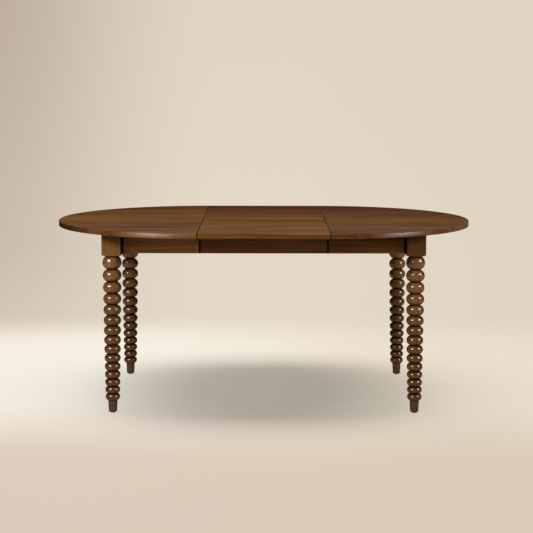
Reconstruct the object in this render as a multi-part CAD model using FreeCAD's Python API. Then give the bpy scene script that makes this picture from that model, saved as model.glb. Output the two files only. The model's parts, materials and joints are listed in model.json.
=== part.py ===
import FreeCAD, Part
import math
import os

Vector = FreeCAD.Vector

# An oval extending dining table with its drop-in leaf in place.
# Millimetres. The origin is on the floor under the middle of the top, +X runs along the length,
# +Y across it away from the front, +Z up. The right half is the left half turned half a turn.

# Top
table_height = 750.0
round_radius = 610.0
leaf_width = 514.0
top_thickness = 21.5
seam_gap = 0.6
top_arris_radius = 3.2
under_arris_radius = 1.5
seam_chamfer = 1.2

# Aprons
apron_height = 86.5
apron_thickness = 18.0
apron_seam_gap = 0.1
apron_end_chamfer = 1.2

# Legs
leg_from_seam = 350.0
leg_spacing_across = 743.4
block_size = 76.0
block_height = 91.0
block_arris_radius = 1.2
pommel_radius = 13.0
collar_radius = 27.0
collar_height = 5.0
bead_count = 15
bead_height_share = 0.957
first_bead_radius = 38.0
last_bead_radius = 29.2
first_neck_radius = 18.8
last_neck_radius = 14.9
foot_height = 47.6
foot_top_radius = 19.0
foot_end_radius = 16.8
foot_round = 4.5
glide_height = 3.0
glide_radius = 10.5
glide_round = 1.0
glide_nail_radius = 1.25
glide_nail_length = 14.0

# Corner joint of each leg
leg_corner_cut = 10.0
corner_block_reach = 66.0
corner_block_thickness = 20.0
corner_block_end_gap = 4.0
hanger_bolt_radius = 4.0
hanger_bolt_depth = 40.0
hanger_bolt_tail = 4.0
hanger_bolt_chamfer = 0.8
hanger_bolt_height_shares = (0.28, 0.72)
washer_radius = 9.0
washer_thickness = 1.6
nut_across_flats = 13.0
nut_height = 6.5
nut_sides = 6

# Extension slides
slide_from_apron = 163.7
runner_width = 30.0
runner_height = 56.0
runner_chamfer = 2.0
runner_end_gap = 7.0
core_drop = 0.5
lift_out_opening = 30.0
tongue_depth = 8.0
tongue_height_share = 0.25
tongue_flare_share = 0.055
tongue_centre_share = 0.30
gear_centre_share = 0.67

# Equaliser gears
gear_module = 2.0
pinion_teeth = 18
pinion_width = 10.0
pressure_angle = 20.0
addendum_share = 1.0
dedendum_share = 1.25
flank_steps = 4
rack_back = 2.5
rack_recess = 0.2
rack_end_gap = 3.0
pinion_end_run = 15.0
pinion_pin_radius = 3.0
pinion_pin_bite = 8.0
pinion_pin_inset = 4.0

# Stop pegs of the slides
stop_peg_radius = 4.0
stop_peg_length = 10.0
stop_peg_proud = 4.0
stop_peg_from_middle = 12.0

# Rails under the slides
crossbar_width = 68.0
crossbar_thickness = 22.0
crossbar_screw_inset = 10.0
seam_rail_width = 40.0
seam_rail_thickness = 26.0
seam_rail_from_seam = 35.0
seam_rail_relief = 1.0
rail_chamfer = 2.0

# Wood screws
screw_radius = 2.0
screw_length = 37.0
screw_tip = 5.0
screw_head_radius = 4.0
screw_head_height = 2.6
screw_slot_width = 1.0
screw_slot_depth = 1.2
screw_slot_reach_share = 0.6
runner_grip = 24.0
counterbore_radius = 5.5
runner_screw_shares = (0.2, 0.55, 0.9)

# Screw blocks under the top
screw_block_size = 25.0
end_block_length = 90.0
side_block_length = 60.0
block_screw_share = 0.28
leaf_block_share = 0.22

# Alignment pins in the seams
seam_pin_radius = 5.0
seam_pin_depth = 20.0
seam_pin_proud = 12.0
seam_pin_chamfer = 1.2
seam_pin_place_shares = (-0.69, 0.14)

# Hook latches across the seams
latch_from_apron = 58.7
latch_pivot_from_seam = 20.0
latch_reach = 40.0
latch_plate_thickness = 2.0
latch_plate_length = 50.0
latch_plate_width = 22.0
latch_plate_corner_radius = 4.4
latch_plate_nose = 13.0
latch_plate_screw_shares = (0.54, 0.86)
latch_pivot_radius = 2.5
latch_head_radius = 5.0
latch_head_height = 2.0
lever_thickness = 3.0
lever_hub_radius = 10.0
lever_arm_width = 13.0
lever_hook_radius = 13.0
lever_mouth_angle = 40.0
lever_tail = 26.0
lever_tail_width = 12.0
lever_tab_drop = 13.0
keeper_stud_radius = 4.0
keeper_head_radius = 6.5
keeper_length = 44.0
keeper_width = 20.0
keeper_corner_radius = 4.0
keeper_screw_share = 0.34
small_screw_radius = 1.5
small_screw_length = 12.0
small_screw_tip = 3.0
small_screw_head_radius = 3.0
small_screw_head_height = 1.6
small_screw_slot_depth = 0.8

# Clearances
running_clearance = 0.05
fixing_clearance = 0.05
slide_clearance = 0.3
end_clearance = 0.6
overrun = 5.0

# Levels and places worked out from the sizes
origin = Vector(0, 0, 0)
up = Vector(0, 0, 1)
full_turn = 360.0
half_turn = full_turn / 2
quarter_turn = full_turn / 4
underside = table_height - top_thickness
apron_bottom = underside - apron_height
block_bottom = underside - block_height
seam_x = leaf_width / 2 + seam_gap
leg_x = seam_x + leg_from_seam
leg_y = leg_spacing_across / 2
block_half = block_size / 2
block_inner_x = leg_x - block_half
block_inner_y = leg_y - block_half
leg_bottom = glide_height
foot_top = leg_bottom + foot_height

core_y = block_inner_y - slide_from_apron
runner_bottom = underside - runner_height
core_top = underside - slide_clearance
core_bottom = runner_bottom - core_drop
half_shift = leaf_width / 2 + seam_gap / 2
runner_half = leg_from_seam + seam_gap / 2 - block_half - runner_end_gap
pitch_radius = gear_module * pinion_teeth / 2
addendum = gear_module * addendum_share
dedendum = gear_module * dedendum_share
tooth_pitch = math.pi * gear_module
core_half = pitch_radius - addendum
runner_face = core_half + slide_clearance
tongue_half_root = runner_height * tongue_height_share / 2
tongue_flare = runner_height * tongue_flare_share
tongue_z = runner_bottom + runner_height * tongue_centre_share
gear_z = runner_bottom + runner_height * gear_centre_share

latch_plate_bottom = underside - latch_plate_thickness
lever_top = latch_plate_bottom - slide_clearance
lever_bottom = lever_top - lever_thickness
latch_head_top = lever_bottom - slide_clearance
latch_head_bottom = latch_head_top - latch_head_height
latch_pivot_x = seam_x + latch_pivot_from_seam
latch_y = block_inner_y - latch_from_apron
keeper_x = latch_pivot_x - latch_reach


# Basic shapes and moves

def box(x0, x1, y0, y1, z0, z1):
    return Part.makeBox(x1 - x0, y1 - y0, z1 - z0, Vector(x0, y0, z0))


def rod(radius, start, direction, length):
    return Part.makeCylinder(radius, length, start, direction)


def placed(shape, position, direction=up):
    copy = shape.copy()
    copy.Placement = FreeCAD.Placement(position, FreeCAD.Rotation(up, direction))
    return copy


def moved(shape, x, y, z):
    copy = shape.copy()
    copy.translate(Vector(x, y, z))
    return copy


def spun(shape, degrees):
    copy = shape.copy()
    copy.rotate(origin, up, degrees)
    return copy


def mirrored_across(shape):
    return shape.mirror(origin, Vector(0, 1, 0))


def prism_x(points, x0, x1):
    # a section in the YZ plane run along X
    corners = [Vector(x0, y, z) for y, z in points]
    face = Part.Face(Part.makePolygon(corners + corners[:1]))
    return face.extrude(Vector(x1 - x0, 0, 0))


def prism_z(points, z0, z1):
    # an outline seen from above run upwards
    corners = [Vector(x, y, z0) for x, y in points]
    face = Part.Face(Part.makePolygon(corners + corners[:1]))
    return face.extrude(Vector(0, 0, z1 - z0))


def turned_solid(edges):
    # a half section in the XZ plane, closed along the axis, spun about Z
    face = Part.Face(Part.Wire(edges))
    return face.revolve(origin, up, full_turn)


def turned_from_points(points):
    corners = [Vector(r, 0, z) for r, z in points]
    return turned_solid(Part.makePolygon(corners + corners[:1]).Edges)


def drilled(shape, cutters):
    # only the cutters that come near the piece are used
    near = [cutter for cutter in cutters if shape.BoundBox.intersect(cutter.BoundBox)]
    if near:
        shape = shape.cut(near)
    return shape


def edges_at(shape, test):
    found = []
    for edge in shape.Edges:
        if test(edge.BoundBox):
            found.append(edge)
    return found


# Screws

def wood_screw():
    # round head below zero, thread simplified to a plain shank with a point
    head_top = Vector(0, 0, -screw_head_height)
    curve = (screw_head_radius ** 2 + screw_head_height ** 2) / (2 * screw_head_height)
    angle = math.atan2(screw_head_radius, curve - screw_head_height) / 2
    head_side = Vector(curve * math.sin(angle), 0,
                       curve - screw_head_height - curve * math.cos(angle))
    head_rim = Vector(screw_head_radius, 0, 0)
    neck = Vector(screw_radius, 0, 0)
    shoulder = Vector(screw_radius, 0, screw_length - screw_tip)
    point = Vector(0, 0, screw_length)
    edges = [
        Part.Arc(head_top, head_side, head_rim).toShape(),
        Part.makeLine(head_rim, neck),
        Part.makeLine(neck, shoulder),
        Part.makeLine(shoulder, point),
        Part.makeLine(point, head_top),
    ]
    screw = turned_solid(edges)
    half_slot = screw_slot_width / 2
    slot_bottom = screw_slot_depth - screw_head_height
    reach = screw_head_radius * screw_slot_reach_share
    slots = [
        box(-reach, reach, -half_slot, half_slot, -screw_head_height - overrun, slot_bottom),
        box(-half_slot, half_slot, -reach, reach, -screw_head_height - overrun, slot_bottom),
    ]
    return screw.cut(slots)


def small_screw():
    # countersunk, its flat head level with zero
    screw = turned_from_points([
        (0, 0),
        (small_screw_head_radius, 0),
        (small_screw_radius, small_screw_head_height),
        (small_screw_radius, small_screw_length - small_screw_tip),
        (0, small_screw_length),
    ])
    half_slot = screw_slot_width / 2
    reach = small_screw_head_radius * screw_slot_reach_share
    slots = [
        box(-reach, reach, -half_slot, half_slot, -overrun, small_screw_slot_depth),
        box(-half_slot, half_slot, -reach, reach, -overrun, small_screw_slot_depth),
    ]
    return screw.cut(slots)


def wood_screws(seats):
    screw = wood_screw()
    return [placed(screw, position, direction) for position, direction in seats]


def wood_screw_holes(seats):
    radius = screw_radius + fixing_clearance
    return [rod(radius, position, direction, screw_length + end_clearance)
            for position, direction in seats]


def small_screws(seats):
    screw = small_screw()
    return [placed(screw, position, up) for position in seats]


def small_screw_holes(seats):
    hole = turned_from_points([
        (0, 0),
        (small_screw_head_radius + fixing_clearance, 0),
        (small_screw_radius + fixing_clearance, small_screw_head_height + fixing_clearance),
        (small_screw_radius + fixing_clearance, small_screw_length + end_clearance),
        (0, small_screw_length + end_clearance),
    ])
    return [placed(hole, position, up) for position in seats]


# Where each screw of the left half sits, as head seat and direction

def runner_mid_y(slide_y):
    return slide_y - runner_face - runner_width / 2


def runner_screw_seats():
    seat_z = underside - runner_grip
    rail_far = seam_x + seam_rail_from_seam + seam_rail_width
    runner_far = half_shift + runner_half
    distances = [seam_x + seam_rail_from_seam / 2]
    for share in runner_screw_shares:
        distances.append(rail_far + share * (runner_far - rail_far))
    return [(Vector(-distance, runner_mid_y(slide_y), seat_z), up)
            for slide_y in (-core_y, core_y) for distance in distances]


def rail_screw_seats():
    x = -(seam_x + seam_rail_from_seam + seam_rail_width / 2)
    z = runner_bottom - seam_rail_thickness
    return [(Vector(x, runner_mid_y(slide_y), z), up) for slide_y in (-core_y, core_y)]


def side_block_middle():
    # half way along the half's front or back apron
    return -(seam_x + block_inner_x) / 2


def along_side_block_seats(x_middle, length, side):
    # one screw up into the top, one level into the front (side -1) or back (side +1) apron
    middle_y = side * (block_inner_y - screw_block_size / 2)
    inner_y = side * (block_inner_y - screw_block_size)
    bottom = underside - screw_block_size
    step = length * block_screw_share
    return [
        (Vector(x_middle - step, middle_y, bottom), up),
        (Vector(x_middle + step, inner_y, bottom + screw_block_size / 2), Vector(0, side, 0)),
    ]


def half_block_screw_seats():
    seats = []
    for side in (-1, 1):
        seats += along_side_block_seats(side_block_middle(), side_block_length, side)
    bottom = underside - screw_block_size
    step = end_block_length * block_screw_share
    inner_x = -(block_inner_x - screw_block_size)
    middle_x = -(block_inner_x - screw_block_size / 2)
    seats.append((Vector(middle_x, -step, bottom), up))
    seats.append((Vector(inner_x, step, bottom + screw_block_size / 2), Vector(-1, 0, 0)))
    return seats


def half_screw_seats():
    return runner_screw_seats() + rail_screw_seats() + half_block_screw_seats()


def leaf_block_middles():
    return [-leaf_width * leaf_block_share, leaf_width * leaf_block_share]


def leaf_block_screw_seats():
    seats = []
    for side in (-1, 1):
        for middle in leaf_block_middles():
            seats += along_side_block_seats(middle, side_block_length, side)
    return seats


def crossbar_screw_seats():
    z = core_bottom - crossbar_thickness
    x = crossbar_width / 2 - crossbar_screw_inset
    return [(Vector(side * x, slide_y, z), up)
            for slide_y in (-core_y, core_y) for side in (-1, 1)]


def latch_screw_seats():
    # in the left half's two latch plates
    seats = []
    nose = latch_pivot_x - latch_plate_nose
    for side in (-1, 1):
        for share in latch_plate_screw_shares:
            x = -(nose + latch_plate_length * share)
            seats.append(Vector(x, side * latch_y, latch_plate_bottom))
    return seats


def keeper_screw_seats():
    offset = keeper_length * keeper_screw_share
    return [Vector(end * keeper_x, side * latch_y + turn * offset, latch_plate_bottom)
            for end in (-1, 1) for side in (-1, 1) for turn in (-1, 1)]


# Alignment pins and their open-bottomed slots

def seam_pin_z():
    return underside + top_thickness / 2


def seam_pins():
    length = seam_pin_depth + seam_pin_proud
    pin = turned_from_points([
        (0, 0),
        (seam_pin_radius - seam_pin_chamfer, 0),
        (seam_pin_radius, seam_pin_chamfer),
        (seam_pin_radius, length - seam_pin_chamfer),
        (seam_pin_radius - seam_pin_chamfer, length),
        (0, length),
    ])
    return [placed(pin, Vector(-seam_x - seam_pin_depth, share * round_radius, seam_pin_z()),
                   Vector(1, 0, 0)) for share in seam_pin_place_shares]


def seam_pin_holes():
    radius = seam_pin_radius + fixing_clearance
    depth = seam_pin_depth + end_clearance
    return [rod(radius, Vector(-seam_x - depth, share * round_radius, seam_pin_z()),
                Vector(1, 0, 0), depth + overrun) for share in seam_pin_place_shares]


def seam_slot(edge_x, inward, y):
    # a slot open to the underside, that drops over a pin; inward is +1 or -1 along X
    depth = seam_pin_proud + end_clearance
    radius = seam_pin_radius + slide_clearance
    outer = edge_x - inward * overrun
    inner = edge_x + inward * depth
    x0 = min(outer, inner)
    x1 = max(outer, inner)
    groove = box(x0, x1, y - radius, y + radius, underside - overrun, seam_pin_z())
    crown = rod(radius, Vector(x0, y, seam_pin_z()), Vector(1, 0, 0), x1 - x0)
    return groove.fuse(crown)


# Tops

def rim(x, side):
    # the rounded edge of the top at +Y (side 1) or -Y (side -1), from its underside to its face
    under_turn = under_arris_radius * (1 - math.sqrt(0.5))
    top_turn = top_arris_radius * (1 - math.sqrt(0.5))
    under_flat = Vector(x, side * (round_radius - under_arris_radius), underside)
    under_round = Vector(x, side * (round_radius - under_turn), underside + under_turn)
    side_low = Vector(x, side * round_radius, underside + under_arris_radius)
    side_high = Vector(x, side * round_radius, table_height - top_arris_radius)
    top_round = Vector(x, side * (round_radius - top_turn), table_height - top_turn)
    top_flat = Vector(x, side * (round_radius - top_arris_radius), table_height)
    edges = [
        Part.Arc(under_flat, under_round, side_low).toShape(),
        Part.makeLine(side_low, side_high),
        Part.Arc(side_high, top_round, top_flat).toShape(),
    ]
    return edges, under_flat, top_flat


def seam_bevel(edge_x, inward):
    # takes the sharp upper edge off a seam; inward is +1 or -1 along X, into the wood
    reach = round_radius + overrun
    high = seam_chamfer + overrun
    corners = [
        Vector(edge_x + inward * high, -reach, table_height + overrun),
        Vector(edge_x - inward * overrun, -reach, table_height - high),
        Vector(edge_x - inward * overrun, -reach, table_height + overrun),
    ]
    face = Part.Face(Part.makePolygon(corners + corners[:1]))
    return face.extrude(Vector(0, 2 * reach, 0))


def half_top():
    edges, under_flat, top_flat = rim(0, 1)
    middle_low = Vector(0, 0, underside)
    middle_high = Vector(0, 0, table_height)
    edges += [
        Part.makeLine(top_flat, middle_high),
        Part.makeLine(middle_high, middle_low),
        Part.makeLine(middle_low, under_flat),
    ]
    top = Part.Face(Part.Wire(edges)).revolve(origin, up, half_turn)
    top = moved(top, -seam_x, 0, 0)
    slots = [seam_slot(-seam_x, -1, -share * round_radius) for share in seam_pin_place_shares]
    return drilled(top, [seam_bevel(-seam_x, -1)] + seam_pin_holes() + slots
                   + wood_screw_holes(half_screw_seats()) + small_screw_holes(latch_screw_seats()))


def leaf_top():
    half = leaf_width / 2
    back_rim, back_low, back_high = rim(-half, 1)
    front_rim, front_low, front_high = rim(-half, -1)
    edges = back_rim + front_rim
    edges += [Part.makeLine(back_high, front_high), Part.makeLine(front_low, back_low)]
    top = Part.Face(Part.Wire(Part.__sortEdges__(edges))).extrude(Vector(leaf_width, 0, 0))
    slots = [seam_slot(-half, 1, share * round_radius) for share in seam_pin_place_shares]
    slots += [seam_slot(half, -1, -share * round_radius) for share in seam_pin_place_shares]
    return drilled(top, [seam_bevel(-half, 1), seam_bevel(half, -1)] + slots
                   + wood_screw_holes(leaf_block_screw_seats())
                   + small_screw_holes(keeper_screw_seats()))


# Aprons

def side_apron(x0, x1, side):
    # side -1 is the front apron, +1 the back one; the inner face is level with the leg block's
    inner = side * block_inner_y
    outer = side * (block_inner_y + apron_thickness)
    return box(x0, x1, min(inner, outer), max(inner, outer), apron_bottom, underside)


def apron_end_bevel(end, way, side):
    # takes the sharp outer corner off an apron's end at a seam; way is +1 or -1 along X, outwards
    outer = side * (block_inner_y + apron_thickness)
    high = apron_end_chamfer + overrun
    return prism_z([(end - way * high, outer + side * overrun),
                    (end + way * overrun, outer - side * high),
                    (end + way * overrun, outer + side * overrun)],
                   apron_bottom - overrun, underside + overrun)


def half_side_apron(side):
    end = -leaf_width / 2 - apron_seam_gap
    apron = side_apron(-block_inner_x, end, side)
    return drilled(apron, wood_screw_holes(half_block_screw_seats()) + placed_bolt_holes()
                   + [apron_end_bevel(end, 1, side)])


def leaf_apron(side):
    end = leaf_width / 2
    apron = side_apron(-end, end, side)
    return drilled(apron, wood_screw_holes(leaf_block_screw_seats())
                   + [apron_end_bevel(-end, -1, side), apron_end_bevel(end, 1, side)])


def end_apron():
    apron = box(-block_inner_x - apron_thickness, -block_inner_x, -block_inner_y, block_inner_y,
                apron_bottom, underside)
    return drilled(apron, wood_screw_holes(half_block_screw_seats()) + placed_bolt_holes())


# Legs, modelled about their own axis with the inner corner towards +X +Y

def bead_levels():
    # the beads shrink by a steady ratio from the collar to the foot
    total = block_bottom - collar_height - foot_top
    first = total * (1 - bead_height_share) / (1 - bead_height_share ** bead_count)
    levels = [block_bottom - collar_height]
    for number in range(bead_count):
        levels.append(levels[-1] - first * bead_height_share ** number)
    return levels


def neck_radius(number):
    # the neck above bead number, the last one being where the foot starts
    if number == 0:
        return collar_radius
    if number == bead_count:
        return foot_top_radius
    step = (first_neck_radius - last_neck_radius) / (bead_count - 2)
    return first_neck_radius - step * (number - 1)


def bead_radius(number):
    step = (first_bead_radius - last_bead_radius) / (bead_count - 1)
    return first_bead_radius - step * number


def quarter_bead(radius, middle_z, neck, neck_z):
    # from the widest point to the neck, leaving the widest point straight up or down
    half_height = neck_z - middle_z
    rise = radius - neck
    curve = (half_height ** 2 + rise ** 2) / (2 * rise)
    angle = math.atan2(abs(half_height), curve - rise) / 2
    way = math.copysign(1, half_height)
    middle = Vector(radius - curve + curve * math.cos(angle), 0,
                    middle_z + way * curve * math.sin(angle))
    return Part.Arc(Vector(radius, 0, middle_z), middle, Vector(neck, 0, neck_z)).toShape()


def leg_stem():
    levels = bead_levels()
    top = Vector(0, 0, block_bottom)
    collar_top = Vector(collar_radius, 0, block_bottom)
    collar_end = Vector(collar_radius, 0, levels[0])
    edges = [Part.makeLine(top, collar_top), Part.makeLine(collar_top, collar_end)]
    for number in range(bead_count):
        radius = bead_radius(number)
        middle = (levels[number] + levels[number + 1]) / 2
        edges.append(quarter_bead(radius, middle, neck_radius(number), levels[number]))
        edges.append(quarter_bead(radius, middle, neck_radius(number + 1), levels[number + 1]))
    foot_start = Vector(foot_top_radius, 0, levels[-1])
    foot_side = Vector(foot_end_radius, 0, leg_bottom + foot_round)
    turn = foot_round * math.sqrt(0.5)
    foot_corner = Vector(foot_end_radius - foot_round + turn, 0, leg_bottom + foot_round - turn)
    foot_flat = Vector(foot_end_radius - foot_round, 0, leg_bottom)
    bottom = Vector(0, 0, leg_bottom)
    edges.append(Part.makeLine(foot_start, foot_side))
    edges.append(Part.Arc(foot_side, foot_corner, foot_flat).toShape())
    edges.append(Part.makeLine(foot_flat, bottom))
    edges.append(Part.makeLine(bottom, top))
    return turned_solid(Part.__sortEdges__(edges))


def leg_block():
    # square, its lower corners rounded off on the lathe
    block = box(-block_half, block_half, -block_half, block_half, block_bottom, underside)
    upright = edges_at(block, lambda b: b.ZLength > block_half)
    block = block.makeFillet(block_arris_radius, upright)
    corner_radius = block_half * math.sqrt(2)
    flat_radius = corner_radius - pommel_radius
    turn = pommel_radius * math.sqrt(0.5)
    flat_end = Vector(flat_radius, 0, block_bottom)
    round_middle = Vector(flat_radius + turn, 0, block_bottom + pommel_radius - turn)
    round_end = Vector(corner_radius, 0, block_bottom + pommel_radius)
    outer_low = Vector(corner_radius + overrun, 0, block_bottom + pommel_radius)
    outer_top = Vector(corner_radius + overrun, 0, underside + overrun)
    axis_top = Vector(0, 0, underside + overrun)
    axis_low = Vector(0, 0, block_bottom)
    lathe_shape = turned_solid([
        Part.makeLine(axis_low, flat_end),
        Part.Arc(flat_end, round_middle, round_end).toShape(),
        Part.makeLine(round_end, outer_low),
        Part.makeLine(outer_low, outer_top),
        Part.makeLine(outer_top, axis_top),
        Part.makeLine(axis_top, axis_low),
    ])
    return block.common(lathe_shape)


def hanger_bolt_levels():
    return [apron_bottom + apron_height * share for share in hanger_bolt_height_shares]


def diagonal():
    return Vector(math.sqrt(0.5), math.sqrt(0.5), 0)


def on_diagonal(distance, z):
    # distance is measured from the block's inner corner, away from the leg
    corner = Vector(block_half, block_half, 0)
    point = corner + diagonal() * distance
    return Vector(point.x, point.y, z)


def corner_block_far():
    return corner_block_reach * math.sqrt(0.5)


def corner_block_near():
    return corner_block_far() - corner_block_thickness


def hanger_bolt_holes():
    # through the leg, past the ends of the aprons and through the corner block
    start = -hanger_bolt_depth - end_clearance
    length = corner_block_far() + overrun - start
    return [rod(hanger_bolt_radius + fixing_clearance, on_diagonal(start, z), diagonal(), length)
            for z in hanger_bolt_levels()]


def placed_bolt_holes():
    return at_front_left(hanger_bolt_holes()) + at_back_left(hanger_bolt_holes())


def leg():
    body = leg_block().fuse(leg_stem()).removeSplitter()
    cut_line = block_half - leg_corner_cut
    outside = block_half + overrun
    wedge = prism_z([(outside, cut_line - overrun), (outside, outside),
                     (cut_line - overrun, outside)], block_bottom - overrun, underside + overrun)
    nail_hole = rod(glide_nail_radius + fixing_clearance, Vector(0, 0, leg_bottom - overrun), up,
                    glide_nail_length + end_clearance + overrun)
    return body.cut([wedge, nail_hole] + hanger_bolt_holes())


def corner_block():
    # a stout diagonal bar glued into the apron corner; its ends lie on the aprons' inner faces
    far = corner_block_far() * math.sqrt(2)
    near = corner_block_near() * math.sqrt(2)
    corner = block_half
    outline = [(corner + near, corner), (corner + far, corner), (corner, corner + far),
               (corner, corner + near)]
    block = prism_z(outline, apron_bottom + corner_block_end_gap, underside - corner_block_end_gap)
    return block.cut(hanger_bolt_holes())


def hanger_bolts():
    beyond = corner_block_far() + washer_thickness + nut_height + hanger_bolt_tail
    length = hanger_bolt_depth + beyond
    ease = hanger_bolt_chamfer
    bolt = turned_from_points([
        (0, 0), (hanger_bolt_radius - ease, 0), (hanger_bolt_radius, ease),
        (hanger_bolt_radius, length - ease), (hanger_bolt_radius - ease, length), (0, length),
    ])
    return [placed(bolt, on_diagonal(-hanger_bolt_depth, z), diagonal())
            for z in hanger_bolt_levels()]


def washers():
    hole = hanger_bolt_radius + fixing_clearance
    disc = rod(washer_radius, origin, up, washer_thickness)
    disc = disc.cut(rod(hole, Vector(0, 0, -overrun), up, washer_thickness + 2 * overrun))
    return [placed(disc, on_diagonal(corner_block_far(), z), diagonal())
            for z in hanger_bolt_levels()]


def nuts():
    corner = nut_across_flats / math.sqrt(3)
    turns = [2 * math.pi * side / nut_sides for side in range(nut_sides)]
    outline = [(corner * math.cos(turn), corner * math.sin(turn)) for turn in turns]
    hexagon = prism_z(outline, 0, nut_height)
    hexagon = hexagon.common(turned_from_points([
        (0, 0), (nut_across_flats / 2, 0), (corner, corner - nut_across_flats / 2),
        (corner, nut_height - corner + nut_across_flats / 2), (nut_across_flats / 2, nut_height),
        (0, nut_height),
    ]))
    hole = hanger_bolt_radius + fixing_clearance
    hexagon = hexagon.cut(rod(hole, Vector(0, 0, -overrun), up, nut_height + 2 * overrun))
    return [placed(hexagon, on_diagonal(corner_block_far() + washer_thickness, z), diagonal())
            for z in hanger_bolt_levels()]


def foot_glide():
    edge = glide_radius - glide_round
    corner = glide_round * math.sqrt(0.5)
    bottom = Vector(0, 0, 0)
    flat = Vector(edge, 0, 0)
    turn = Vector(edge + corner, 0, glide_round - corner)
    side = Vector(glide_radius, 0, glide_round)
    rim = Vector(glide_radius, 0, glide_height)
    neck = Vector(glide_nail_radius, 0, glide_height)
    shank = Vector(glide_nail_radius, 0, glide_height + glide_nail_length - glide_nail_radius)
    point = Vector(0, 0, glide_height + glide_nail_length)
    return turned_solid([
        Part.makeLine(bottom, flat),
        Part.Arc(flat, turn, side).toShape(),
        Part.makeLine(side, rim),
        Part.makeLine(rim, neck),
        Part.makeLine(neck, shank),
        Part.makeLine(shank, point),
        Part.makeLine(point, bottom),
    ])


def at_front_left(shapes):
    return [moved(shape, -leg_x, -leg_y, 0) for shape in shapes]


def at_back_left(shapes):
    return [moved(spun(shape, -quarter_turn), -leg_x, leg_y, 0) for shape in shapes]


# Equaliser gears

def involute(angle):
    return math.tan(angle) - angle


def pinion_outline():
    # teeth from the involute of the base circle, the first one centred on +X
    pressure = math.radians(pressure_angle)
    base = pitch_radius * math.cos(pressure)
    tip = pitch_radius + addendum
    root = pitch_radius - dedendum
    half_tooth = math.pi / (2 * pinion_teeth) + involute(pressure)
    flank = []
    for step in range(flank_steps + 1):
        radius = base + (tip - base) * step / flank_steps
        flank.append((radius, half_tooth - involute(math.acos(base / radius))))
    flank.insert(0, (root, flank[0][1]))
    outline = []
    for tooth in range(pinion_teeth):
        centre = 2 * math.pi * tooth / pinion_teeth
        polar = [(radius, centre - angle) for radius, angle in flank]
        polar += [(radius, centre + angle) for radius, angle in reversed(flank)]
        outline += [(radius * math.cos(angle), radius * math.sin(angle)) for radius, angle in polar]
    return outline


def pinion(slide_y):
    bottom = gear_z - pinion_width / 2
    gear = prism_z(pinion_outline(), bottom, bottom + pinion_width)
    bore = rod(pinion_pin_radius + running_clearance, Vector(0, 0, bottom - overrun), up,
               pinion_width + 2 * overrun)
    # a tooth points at each rack: turned a quarter turn, the first tooth looks across the slide
    return moved(spun(gear.cut(bore), quarter_turn), 0, slide_y, 0)


def rack_reach():
    # whole teeth left and right of the pinion at rest
    left = math.ceil((half_shift + pinion_end_run) / tooth_pitch)
    right = math.floor((runner_half - half_shift - rack_end_gap) / tooth_pitch)
    return left, right


def rack_tip_y(slide_y):
    return slide_y - runner_face - rack_recess


def left_rack(slide_y):
    # beside the core runner, towards -Y; a gap faces the pinion at rest
    left, right = rack_reach()
    tip = rack_tip_y(slide_y)
    root = tip - addendum - dedendum
    back = root - rack_back
    slope = math.tan(math.radians(pressure_angle))
    tip_half = tooth_pitch / 4 - addendum * slope
    root_half = tooth_pitch / 4 + dedendum * slope
    x0 = -left * tooth_pitch
    x1 = right * tooth_pitch
    outline = [(x0, back), (x0, root)]
    for tooth in range(left + right):
        centre = x0 + (tooth + 0.5) * tooth_pitch
        outline += [(centre - root_half, root), (centre - tip_half, tip), (centre + tip_half, tip),
                    (centre + root_half, root)]
    outline += [(x1, root), (x1, back)]
    return prism_z(outline, gear_z - pinion_width / 2, gear_z + pinion_width / 2)


def left_rack_groove(slide_y):
    left, right = rack_reach()
    back = rack_tip_y(slide_y) - addendum - dedendum - rack_back
    return box(-left * tooth_pitch, right * tooth_pitch, back, slide_y - core_half,
               gear_z - pinion_width / 2, gear_z + pinion_width / 2)


# Extension slides

def stop_channel(slide_y):
    # cut into the tongue's edge; its closed end meets the peg when the halves are fully apart
    end_x = lift_out_opening + stop_peg_radius + slide_clearance - stop_peg_from_middle
    far_x = -stop_peg_from_middle - half_shift - stop_peg_radius - end_clearance
    edge = slide_y - runner_face + tongue_depth
    half_height = stop_peg_radius + slide_clearance
    depth = stop_peg_proud + end_clearance
    return box(far_x, end_x, edge - depth, edge + overrun, tongue_z - half_height,
               tongue_z + half_height)


def left_runner(slide_y):
    inner = slide_y - runner_face
    outer = inner - runner_width
    edge = inner + tongue_depth
    half_tip = tongue_half_root + tongue_flare
    section = [
        (outer, runner_bottom + runner_chamfer), (outer, underside), (inner, underside),
        (inner, tongue_z + tongue_half_root), (edge, tongue_z + half_tip),
        (edge, tongue_z - half_tip), (inner, tongue_z - tongue_half_root),
        (inner, runner_bottom + runner_chamfer), (inner - runner_chamfer, runner_bottom),
        (outer + runner_chamfer, runner_bottom),
    ]
    runner = prism_x(section, -half_shift - runner_half, -half_shift + runner_half)
    seat_z = underside - runner_grip
    bores = [rod(counterbore_radius, Vector(seat.x, seat.y, runner_bottom - overrun), up,
                 seat_z - runner_bottom + overrun) for seat, way in runner_screw_seats()]
    return drilled(runner, [left_rack_groove(slide_y), stop_channel(slide_y)] + bores
                   + wood_screw_holes(half_screw_seats()))


def pinion_pocket(slide_y):
    reach = pitch_radius + addendum + end_clearance
    half = pinion_width / 2 + slide_clearance
    return box(-reach, reach, slide_y - core_half - overrun, slide_y + core_half + overrun,
               gear_z - half, gear_z + half)


def stop_peg_seats():
    # the left runner's pegs face -Y, the right runner's face +Y
    seats = []
    groove_floor = runner_face - tongue_depth - slide_clearance
    inner_end = groove_floor + stop_peg_proud - stop_peg_length
    for slide_y in (-core_y, core_y):
        for side in (-1, 1):
            start = Vector(side * stop_peg_from_middle, slide_y + side * inner_end, tongue_z)
            seats.append((start, Vector(0, side, 0)))
    return seats


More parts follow.
